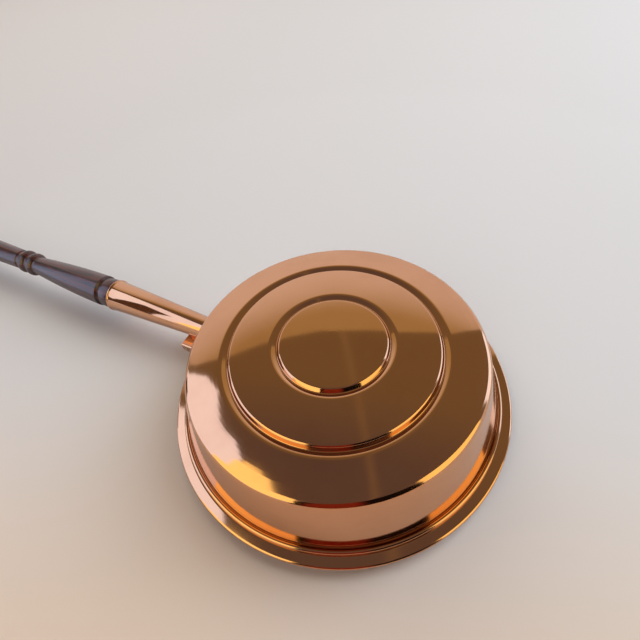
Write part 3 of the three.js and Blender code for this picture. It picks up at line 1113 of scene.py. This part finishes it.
@dataclass
class HangingGear:
    """The brass screw eye in the handle's end and the ring that hangs in it."""

    wire: float = 1.25
    hole: float = 2.1
    stem: float = 2.4
    shank_length: float = 20.0
    gap: float = 0.3
    ring_wire: float = 1.6
    ring_radius: float = 13.0
    ring_flat: float = 0.25

    def build(self, handle_end: float, height: float) -> None:
        """Makes the eye and the ring.

        Args:
            handle_end: Distance of the wood's end from the pan's axis.
            height: Height of the handle's axis.
        """
        loop_radius = self.hole + self.wire
        distance = handle_end + self.gap + self.stem + loop_radius
        centre = Vector((-distance, 0, height))
        section = arc((loop_radius, 0.0), self.wire, 0, 345, 23)
        eye = turned("brass_screw_eye", section, 64, pointing(centre, Vector((0, 1, 0))))
        shank_end = distance - loop_radius
        low = handle_end - self.shank_length
        shank = [
            (0.0, low), (0.35, low), (self.wire, low + 4.0), (self.wire, handle_end + 0.4),
            (self.wire * 1.02, shank_end - 0.9), (self.wire * 0.98, shank_end), (0.0, shank_end),
        ]
        carved(eye, Carve.JOIN, turned("shank", shank, FASTENER_STEPS, along(height)))
        dress(eye, BRASS, Body.PAN, "screw_eye")
        self._ring(distance, height)

    def _ring(self, distance: float, height: float) -> None:
        """The hanging ring, bent from one wire and brazed where its ends meet."""
        middle = Vector((-distance, 0, height - self.ring_radius))
        section = arc((self.ring_radius, 0.0), self.ring_wire, 0, 345, 23)
        ring = turned("brass_hanging_ring", section, 120, pointing(middle, Vector((-1, 0, 0))))
        for vertex in ring.data.vertices:
            away = vertex.co / MM - middle
            turn = math.degrees(math.atan2(away.y, -away.z))
            swell = math.exp(-((turn / 4.0) ** 2))
            spine = Vector((0, away.y, away.z)).normalized() * self.ring_radius
            vertex.co = (middle + spine + (away - spine) * (1 - self.ring_flat * 0.5 * swell)) * MM
        ring.data.update()
        dress(ring, BRASS, Body.RING, "hanging_ring")


# ---------------------------------------------------------------- lid


@dataclass
class Lid:
    """The dished copper lid that the pan stands on, with its wired brim and hinge leaf."""

    sheet: float = 1.2
    panel_radius: float = 124.5
    wall_run: float = 7.5
    brim_bottom: float = 12.0
    brim_slope: float = 9.0
    slope_start: float = 144.4
    brim_radius: float = 152.8
    curl_centre_radius: float = 150.85
    curl_inner: float = 0.75
    curl_end: float = -190.0
    wire_radius: float = 0.5
    rounding: float = 5.0
    fillet: float = 3.0
    slope_rounding: float = 6.0
    rings: tuple[tuple[float, float], ...] = ((48.0, 10.0), (95.0, 11.0))
    ring_depth: float = 2.0
    ring_slope: float = 2.0
    ring_rounding: float = 1.6
    notch_half: float = 21.3
    notch_start: float = 145.6
    leaf_bottom: float = 10.1
    leaf_thickness: float = 1.6
    leaf_start: float = 129.6
    leaf_half: float = 18.7
    leaf_corner: float = 3.0
    knuckle_radius: float = 3.6
    bore_radius: float = 1.9
    rivet_distance: float = 134.1
    rivet_pitch: float = 11.0
    gap: float = 0.3
    rivet: Rivet = field(default_factory=Rivet)

    def outline(self) -> list[Point]:
        """Lower face from the middle to the inside of the rolled edge."""
        corners: list[tuple[float, float, float]] = [(0.0, 0.0, 0.0)]
        for radius, width in self.rings:
            corners += [
                (radius - width, 0.0, self.ring_rounding),
                (radius - width + self.ring_slope, self.ring_depth, self.ring_rounding),
                (radius - self.ring_slope, self.ring_depth, self.ring_rounding),
                (radius, 0.0, self.ring_rounding),
            ]
        corners += [
            (self.panel_radius - self.wall_run, 0.0, self.rounding),
            (self.panel_radius, self.brim_bottom, self.fillet),
            (self.slope_start, self.brim_bottom, self.slope_rounding),
            self._slope_end(),
        ]
        curl = arc(self.curl_centre, self.curl_inner, 90 - self.brim_slope, self.curl_end, 20)
        return rounded(corners, 12)[:-1] + curl

    @property
    def curl_centre(self) -> Point:
        """Middle of the wire in the brim's rolled edge."""
        drop = (self.curl_centre_radius - self.slope_start) * math.tan(math.radians(self.brim_slope))
        return self.curl_centre_radius, self.brim_bottom - drop - self.curl_inner

    def _slope_end(self) -> tuple[float, float, float]:
        """Where the sloping brim meets its rolled edge."""
        turn = math.radians(90 - self.brim_slope)
        radius, height = self.curl_centre
        return radius + self.curl_inner * math.cos(turn), height + self.curl_inner * math.sin(turn), 0.0

    def build(self, saddle: Saddle) -> None:
        """Makes the lid's sheet, its wire, the hinge leaf and its rivets.

        Args:
            saddle: The saddle whose pin the leaf turns on.
        """
        panel = turned("lid_shell", sheet_section(self.outline(), self.sheet), BODY_STEPS)
        notch = extruded(
            "notch", [(self.notch_start, -CARVE_MARGIN), (saddle.ear_end, -CARVE_MARGIN),
                      (saddle.ear_end, saddle.web_bottom), (self.notch_start, saddle.web_bottom)],
            -self.notch_half, self.notch_half, side_on,
        )
        carved(panel, Carve.CUT, notch)
        dress(panel, COPPER, Body.LID, "lid_panel")
        opening = 2 * math.degrees(math.asin(self.notch_half / self.curl_centre_radius))
        wire_section = arc(self.curl_centre, self.wire_radius, 0, 345, 23)
        wire = turned("lid_edge_wire", wire_section, BODY_STEPS, gap=opening)
        dress(wire, STEEL, Body.LID, "lid_rim_wire")
        self._leaf(saddle)
        grip = self.sheet + self.gap + self.leaf_thickness
        for number in (1, 2, 3):
            position = Vector((
                -self.rivet_distance, (number - 2) * self.rivet_pitch, self.leaf_bottom + grip / 2,
            ))
            piece = self.rivet.build(f"leaf_stud_{number}", grip, position, Vector((0, 0, 1)))
            dress(piece, COPPER, Body.LID, f"leaf_rivet_{number}")

    def _leaf(self, saddle: Saddle) -> None:
        """The hinge leaf, its end rolled round the pin with a fine gap where the roll closes."""
        centre = (saddle.pin_distance, saddle.pin_height)
        top = self.leaf_bottom + self.leaf_thickness
        roll = [
            *arc(centre, self.knuckle_radius, -90, 205, 40),
            *reversed(arc(centre, self.bore_radius, -90, 205, 30)),
        ]
        section = [
            (self.leaf_start, self.leaf_bottom), *roll, (self.leaf_start, top),
        ]
        side = extruded(
            "hinge_strap", section, -self.leaf_half, self.leaf_half, side_on
        )
        low, high = self.leaf_start, saddle.pin_distance + self.knuckle_radius + CARVE_MARGIN
        plan = rounded(
            [(high, 0.0, 0.0), (high, self.leaf_half, 0.0), (low, self.leaf_half, self.leaf_corner),
             (low, -self.leaf_half, self.leaf_corner), (high, -self.leaf_half, 0.0), (high, 0.0, 0.0)], 8,
        )[:-1]
        blank = extruded("plan", plan, 0.0, 30.0, lambda u, v, run: Vector((-u, v, run)))
        carved(side, Carve.KEEP_COMMON, blank)
        dress(side, COPPER, Body.LID, "hinge_leaf")


# ---------------------------------------------------------------- studio


@dataclass(frozen=True)
class SoftPane:
    """A soft-edged pane of light round the studio.

    Its corners are the azimuth from straight behind the pan and the elevation, in degrees,
    in anticlockwise order as seen with azimuth to the right and elevation up.
    """

    corners: tuple[Point, ...]
    colour: tuple[float, float, float]
    edge: float = 3.0
    top_colour: Colour | None = None
    fade: Point = (18.0, 50.0)


@dataclass(frozen=True)
class LightCard:
    """A card near the pan, seen from one point by the azimuth and elevation of its corners.

    It shows in the metal alone and leaves the table as it is. Its colour may change with height.
    """

    seen_from: tuple[float, float, float]
    distance: float
    corners: tuple[Point, ...]
    colour: tuple[float, float, float]
    top_colour: Colour | None = None
    fade: tuple[float, float] = (0.0, 1.0)

    def build(self, name: str) -> None:
        """Makes the card, out of the camera's sight."""
        corners = [Vector(self.seen_from) + toward(*corner) * self.distance for corner in self.corners]
        middle = sum(corners, Vector()) / len(corners)
        count = len(corners)
        faces = [(count, i, (i + 1) % count) for i in range(count)]
        card = as_object(name, [*corners, middle], faces)
        card.visible_camera = False
        card.visible_shadow = False
        card.visible_diffuse = False
        material = new_material(f"{name}_diffuser_cloth")
        tree = material.node_tree
        shown: object = (*self.colour, 1.0)
        if self.top_colour:
            where = add_node(tree, "TexCoord").outputs["Object"]
            height = add_node(tree, "SeparateXYZ", None, {0: where}).outputs["Z"]
            share = add_node(
                tree, "MapRange", SOFTLY,
                {"Value": height, "From Min": self.fade[0] * MM, "From Max": self.fade[1] * MM},
            ).outputs["Result"]
            shown = add_node(
                tree, "Mix", COLOURS,
                {0: share, 6: shown, 7: (*self.top_colour, 1.0)},
            ).outputs[2]
        glow = add_node(tree, "Emission", None, {"Color": shown, "Strength": 1.0})
        tree.links.new(glow.outputs[0], tree.nodes["Material Output"].inputs["Surface"])
        card.data.materials.append(material)


@dataclass
class DarkFlag:
    """A dark brushed cloth on the near side, which darkens its reflections.

    Its middle is a dull red, which gives the near edges their red glint.
    """

    azimuth: float = 304.0
    distance: float = 1500.0
    half_width: float = 1050.0
    heights: Point = (15.0, 2300.0)
    red_offset: float = 0.37
    red_limits: Point = (0.3, 0.55)
    red: str = "#86321F"
    dark: str = "#120A07"
    roughness: float = 0.9
    gloss: float = 0.1

    def build(self) -> None:
        """Makes the flag, which shows in the metal alone."""
        middle = toward(self.azimuth, 0) * self.distance
        across = toward(self.azimuth + 90, 0)
        side = across * self.half_width
        foot, top = (Vector((0, 0, height)) for height in self.heights)
        corners = [middle - side + foot, middle + side + foot, middle + side + top, middle - side + top]
        flag = as_object("dark_flag", corners, [(0, 1, 2, 3)])
        flag.visible_camera = False
        flag.visible_shadow = False
        flag.visible_diffuse = False
        material = new_material("cloth_dark_brushed")
        tree = material.node_tree
        shader = tree.nodes["Principled BSDF"]
        where = add_node(tree, "TexCoord").outputs["Object"]
        place = add_node(
            tree, "VectorMath", {"operation": "DOT_PRODUCT"}, {0: where, 1: tuple(across)}
        ).outputs["Value"]
        centred = add_node(tree, "Math", {"operation": "ADD"}, {0: place, 1: self.red_offset}).outputs[0]
        away = add_node(tree, "Math", {"operation": "ABSOLUTE"}, {0: centred}).outputs[0]
        share = add_node(
            tree, "MapRange", SOFTLY,
            {"Value": away, "From Min": self.red_limits[0], "From Max": self.red_limits[1]},
        ).outputs["Result"]
        colour = add_node(
            tree, "Mix", COLOURS, {0: share, 6: linear(self.red), 7: linear(self.dark)}
        ).outputs[2]
        tree.links.new(colour, shader.inputs["Base Color"])
        shader.inputs["Roughness"].default_value = self.roughness
        shader.inputs["Specular IOR Level"].default_value = self.gloss
        flag.data.materials.append(material)


@dataclass
class Studio:
    """A pale table in a soft studio: pale all round at the horizon, darker above, with panes of light."""

    behind: float = 105.0
    horizon: tuple[float, float, float] = (0.82, 0.80, 0.78)
    ceiling: tuple[float, float, float] = (0.145, 0.11, 0.1)
    ceiling_behind: tuple[float, float, float] = (0.23, 0.17, 0.09)
    horizon_top: tuple[float, float] = (8.0, 16.0)
    edge_wander: float = 2.5
    seam_normal: tuple[float, float, float] = (0.823, 0.558, -0.105)
    seam_colour: tuple[float, float, float] = (0.32, 0.24, 0.13)
    seam_edges: Point = (0.008, 0.03)
    seam_share: float = 0.5
    facing_limits: Point = (-0.1, 0.42)
    wander_scale: float = 3.2
    panes: tuple[SoftPane, ...] = (
        SoftPane(((-38, -30), (66, -30), (66, 28), (56, 37), (36, 43), (8, 46), (-12, 43), (-28, 35)),
                 (0.86, 0.80, 0.80), 1.5, (0.56, 0.44, 0.22)),
        SoftPane(((-75, -25), (-41, -25), (-36, 30), (-49, 38), (-58, 45), (-68, 27)), (1.5, 1.9, 2.6), 2.0),
    )
    cards: tuple[LightCard, ...] = (
        LightCard((-30, -100, 74), 650.0,
                  ((219, 8), (248, 6), (276, 10), (274, 30), (273, 44), (270, 58), (256, 66), (240, 66.5), (221, 64.7),
                   (211, 60), (205, 52), (204, 43), (214, 29)),
                  (1.9, 1.65, 0.7)),
        LightCard((112, -45, 72), 650.0,
                  ((-23, 8), (2, 2), (26, 4), (29, 30), (25, 47), (18, 57), (8, 62), (-3, 64), (-14, 60), (-20, 44)),
                  (1.8, 1.5, 0.55)),
        LightCard((-50, -95, 74), 600.0,
                  ((184, -5), (204, -6), (223, 2), (219, 29), (211, 46), (212, 60), (198, 57), (192, 52), (187, 49),
                   (173, 43), (169, 35), (172, 20)),
                  (1.35, 1.6, 2.2)),
        LightCard((0, 0, 88), 620.0,
                  ((62, -7), (90, -7), (118, -7), (146, -7), (174, -7), (178, 25), (168, 36), (157, 41.5), (145, 45.5),
                   (128, 48.2), (111, 49.4), (98, 47.5), (87, 44.8), (70, 33.5), (62, 16)),
                  (0.86, 0.80, 0.80), (0.50, 0.39, 0.19), (215.0, 440.0)),
        LightCard((-200, 0, 45), 150.0, ((214, 0), (236, 0), (236, 40), (214, 40)), (0.11, 0.06, 0.035)),
    )
    lamps: tuple[tuple[float, float, float, str], ...] = (
        (50.0, 42.0, 26.5, "#F2FBFF"), (145.0, 42.0, 12.0, "#FFEEDC"), (262.0, 42.0, 7.0, "#FFF1E4"),
    )
    lamp_size: float = 1.6
    lamp_distance: float = 2.2
    lamp_target: tuple[float, float, float] = (-0.05, 0, 0)
    table_cool: str = "#E6E6E8"
    # Painted warm light: the table's near side is tinted with this colour in place of the warm glow that falls there.
    table_painted_glow: str = "#F4DFCC"
    table_reach: float = 2.4
    table_roughness: float = 0.5
    table_gloss: float = 0.12
    table_drop: float = 0.05
    # Direction and limits of the painted warm light on the table's near side.
    painted_glow_way: tuple[float, float, float] = (0.30, -0.95, 0.0)
    painted_glow_limits: Point = (-0.05, 0.3)

    def build(self) -> None:
        """Makes the surrounding light, the lamps, the table and the dark flag."""
        self._world()
        self._table()
        DarkFlag().build()
        self._lamps()
        for number, card in enumerate(self.cards, 1):
            card.build(f"light_card_{number}")

    def _lamps(self) -> None:
        """Large cool lamps that light the table without showing in the metal."""
        target = Vector(self.lamp_target)
        for number, (azimuth, elevation, power, colour) in enumerate(self.lamps, 1):
            way = toward(azimuth, elevation)
            data = bpy.data.lights.new(f"softbox_{number}", "AREA")
            data.shape = "SQUARE"
            data.size = self.lamp_size
            data.energy = power
            data.color = linear(colour)[:3]
            lamp = bpy.data.objects.new(data.name, data)
            lamp.location = target + way * self.lamp_distance
            lamp.rotation_euler = way.to_track_quat("Z", "Y").to_euler()
            lamp.visible_glossy = False
            lamp.visible_camera = False
            bpy.context.scene.collection.objects.link(lamp)

    def _world(self) -> None:
        """The studio's light as a colour for each direction."""
        world = bpy.data.worlds.new("soft_studio")
        bpy.context.scene.world = world
        world.use_nodes = True
        tree = world.node_tree
        sky = tree.nodes["Background"]
        direction = add_node(tree, "TexCoord").outputs["Generated"]
        faced = add_node(
            tree, "VectorRotate", {"rotation_type": "Z_AXIS"},
            {"Vector": direction, "Angle": -math.radians(self.behind)},
        ).outputs[0]
        axes = add_node(tree, "SeparateXYZ", None, {0: faced}).outputs
        azimuth = add_node(tree, "Math", {"operation": "ARCTAN2"}, {0: axes["Y"], 1: axes["X"]})
        elevation = add_node(tree, "Math", {"operation": "ARCSINE"}, {0: axes["Z"]})
        angles = add_node(
            tree, "CombineXYZ", None, {0: azimuth.outputs[0], 1: elevation.outputs[0]}
        ).outputs[0]
        degrees = add_node(
            tree, "VectorMath", {"operation": "SCALE"}, {0: angles, "Scale": math.degrees(1)}
        ).outputs[0]
        wander = add_node(
            tree, "TexNoise", None, {"Vector": faced, "Scale": self.wander_scale, "Detail": 3.0}
        ).outputs["Color"]
        centred = add_node(
            tree, "VectorMath", {"operation": "SUBTRACT"}, {0: wander, 1: (0.5, 0.5, 0.5)}
        ).outputs[0]
        place = add_node(
            tree, "VectorMath", {"operation": "MULTIPLY_ADD"},
            {0: centred, 1: (self.edge_wander, self.edge_wander, 0), 2: degrees},
        ).outputs[0]
        height = add_node(tree, "SeparateXYZ", None, {0: degrees}).outputs["Y"]
        low, high = self.horizon_top
        above = add_node(
            tree, "MapRange", SOFTLY,
            {"Value": height, "From Min": low, "From Max": high},
        ).outputs["Result"]
        facing = add_node(
            tree, "MapRange", SOFTLY,
            {"Value": axes["X"], "From Min": self.facing_limits[0], "From Max": self.facing_limits[1]},
        ).outputs["Result"]
        ceiling = add_node(
            tree, "Mix", COLOURS,
            {0: facing, 6: (*self.ceiling, 1.0), 7: (*self.ceiling_behind, 1.0)},
        ).outputs[2]
        off_seam = add_node(
            tree, "VectorMath", {"operation": "DOT_PRODUCT"}, {0: direction, 1: self.seam_normal}
        ).outputs["Value"]
        seam = add_node(
            tree, "MapRange", SOFTLY,
            {"Value": add_node(tree, "Math", {"operation": "ABSOLUTE"}, {0: off_seam}).outputs[0],
             "From Min": self.seam_edges[0], "From Max": self.seam_edges[1],
             "To Min": self.seam_share, "To Max": 0.0},
        ).outputs["Result"]
        ceiling = add_node(
            tree, "Mix", COLOURS, {0: seam, 6: ceiling, 7: (*self.seam_colour, 1.0)}
        ).outputs[2]
        colour = add_node(
            tree, "Mix", COLOURS,
            {0: above, 6: (*self.horizon, 1.0), 7: ceiling},
        ).outputs[2]
        for pane in self.panes:
            colour = self._add_pane(tree, pane, place, height, colour)
        tree.links.new(colour, sky.inputs["Color"])

    @staticmethod
    def _add_pane(
        tree: bpy.types.NodeTree,
        pane: SoftPane,
        place: bpy.types.NodeSocket,
        height: bpy.types.NodeSocket,
        colour: bpy.types.NodeSocket,
    ) -> bpy.types.NodeSocket:
        """Lays one pane over the colours so far.

        Args:
            tree: The world's node tree.
            pane: The pane.
            place: Azimuth and elevation of a direction, in degrees, with wandering edges.
            height: Its elevation in degrees.
            colour: The colour without this pane.

        Returns:
            The colour with it.
        """
        inside = None
        for start, end in zip(pane.corners, pane.corners[1:] + pane.corners[:1]):
            run = Vector((end[0] - start[0], end[1] - start[1])).normalized()
            inward = Vector((-run.y, run.x))
            offset = add_node(
                tree, "VectorMath", {"operation": "SUBTRACT"}, {0: place, 1: (*start, 0)}
            ).outputs[0]
            reach = add_node(
                tree, "VectorMath", {"operation": "DOT_PRODUCT"}, {0: offset, 1: (*inward, 0)}
            ).outputs["Value"]
            inside = reach if inside is None else add_node(
                tree, "Math", {"operation": "MINIMUM"}, {0: inside, 1: reach}
            ).outputs[0]
        share = add_node(
            tree, "MapRange", SOFTLY,
            {"Value": inside, "From Min": -pane.edge / 2, "From Max": pane.edge / 2},
        ).outputs["Result"]
        shown: object = (*pane.colour, 1.0)
        if pane.top_colour:
            rise = add_node(
                tree, "MapRange", None,
                {"Value": height, "From Min": pane.fade[0], "From Max": pane.fade[1]},
            ).outputs["Result"]
            shown = add_node(
                tree, "Mix", COLOURS,
                {0: rise, 6: (*pane.colour, 1.0), 7: (*pane.top_colour, 1.0)},
            ).outputs[2]
        return add_node(
            tree, "Mix", COLOURS, {0: share, 6: colour, 7: shown}
        ).outputs[2]

    def _table(self) -> None:
        """The pale table top, turning warmer towards the near side: painted warm light that stands in for the warm
        glow falling there.

        It is satin laminate: it spreads the light evenly and shows no reflection of the cards.
        """
        reach = self.table_reach / MM
        square = ((-reach, -reach), (reach, -reach), (reach, reach), (-reach, reach))
        corners = [Vector((x, y, -self.table_drop)) for x, y in square]
        table = as_object("table_top", corners, [(0, 1, 2, 3)])
        material = new_material("table_pale_satin_laminate")
        tree = material.node_tree
        shader = tree.nodes["Principled BSDF"]
        where = add_node(tree, "TexCoord").outputs["Object"]
        near = add_node(
            tree, "VectorMath", {"operation": "DOT_PRODUCT"},
            {0: where, 1: self.painted_glow_way},
        ).outputs["Value"]
        share = add_node(
            tree, "MapRange", SOFTLY,
            {"Value": near, "From Min": self.painted_glow_limits[0], "From Max": self.painted_glow_limits[1]},
        ).outputs["Result"]
        # Painted warm light: the near side is mixed towards the warm tint instead of being lit warmer.
        colour = add_node(
            tree, "Mix", COLOURS,
            {0: share, 6: linear(self.table_cool), 7: linear(self.table_painted_glow)},
        ).outputs[2]
        tree.links.new(colour, shader.inputs["Base Color"])
        shader.inputs["Roughness"].default_value = self.table_roughness
        shader.inputs["Specular IOR Level"].default_value = self.table_gloss
        table.data.materials.append(material)


@dataclass
class PhotoCamera:
    """The camera at the photograph's place and angle."""

    position: tuple[float, float, float] = (0.1235, -0.1980, 0.4003)
    yaw: float = -33.8
    pitch: float = 50.616
    roll: float = -8.904
    lens: float = 27.06
    sensor: float = 36.0

    def build(self) -> None:
        """Makes the camera and gives it to the scene."""
        yaw, pitch, roll = (math.radians(a) for a in (self.yaw, self.pitch, self.roll))
        forward = Vector((
            math.sin(yaw) * math.cos(pitch), math.cos(yaw) * math.cos(pitch), -math.sin(pitch),
        ))
        level = Vector((math.cos(yaw), -math.sin(yaw), 0))
        upward = level.cross(forward)
        right = level * math.cos(roll) + upward * math.sin(roll)
        up = upward * math.cos(roll) - level * math.sin(roll)
        data = bpy.data.cameras.new("photo_camera")
        data.lens = self.lens
        data.sensor_width = self.sensor
        data.clip_start = 0.01
        camera = bpy.data.objects.new("photo_camera", data)
        bpy.context.scene.collection.objects.link(camera)
        turn = Matrix((right, up, -forward)).transposed().to_4x4()
        camera.matrix_world = Matrix.Translation(self.position) @ turn
        bpy.context.scene.camera = camera


def main() -> None:
    """Builds the pan, handle, lid and studio in order."""
    logging.basicConfig(level=logging.INFO, format="%(name)s: %(message)s")
    bpy.context.scene.view_settings.view_transform = "Standard"
    PhotoCamera().build()
    pan, socket, saddle = Pan(), Socket(), Saddle()
    pan.build()
    socket.build(pan)
    saddle.build(pan, socket)
    handle_end = Handle(socket).build()
    HangingGear().build(handle_end, socket.axis_height)
    Lid().build(saddle)
    Studio().build()


if __name__ == "__main__":
    main()
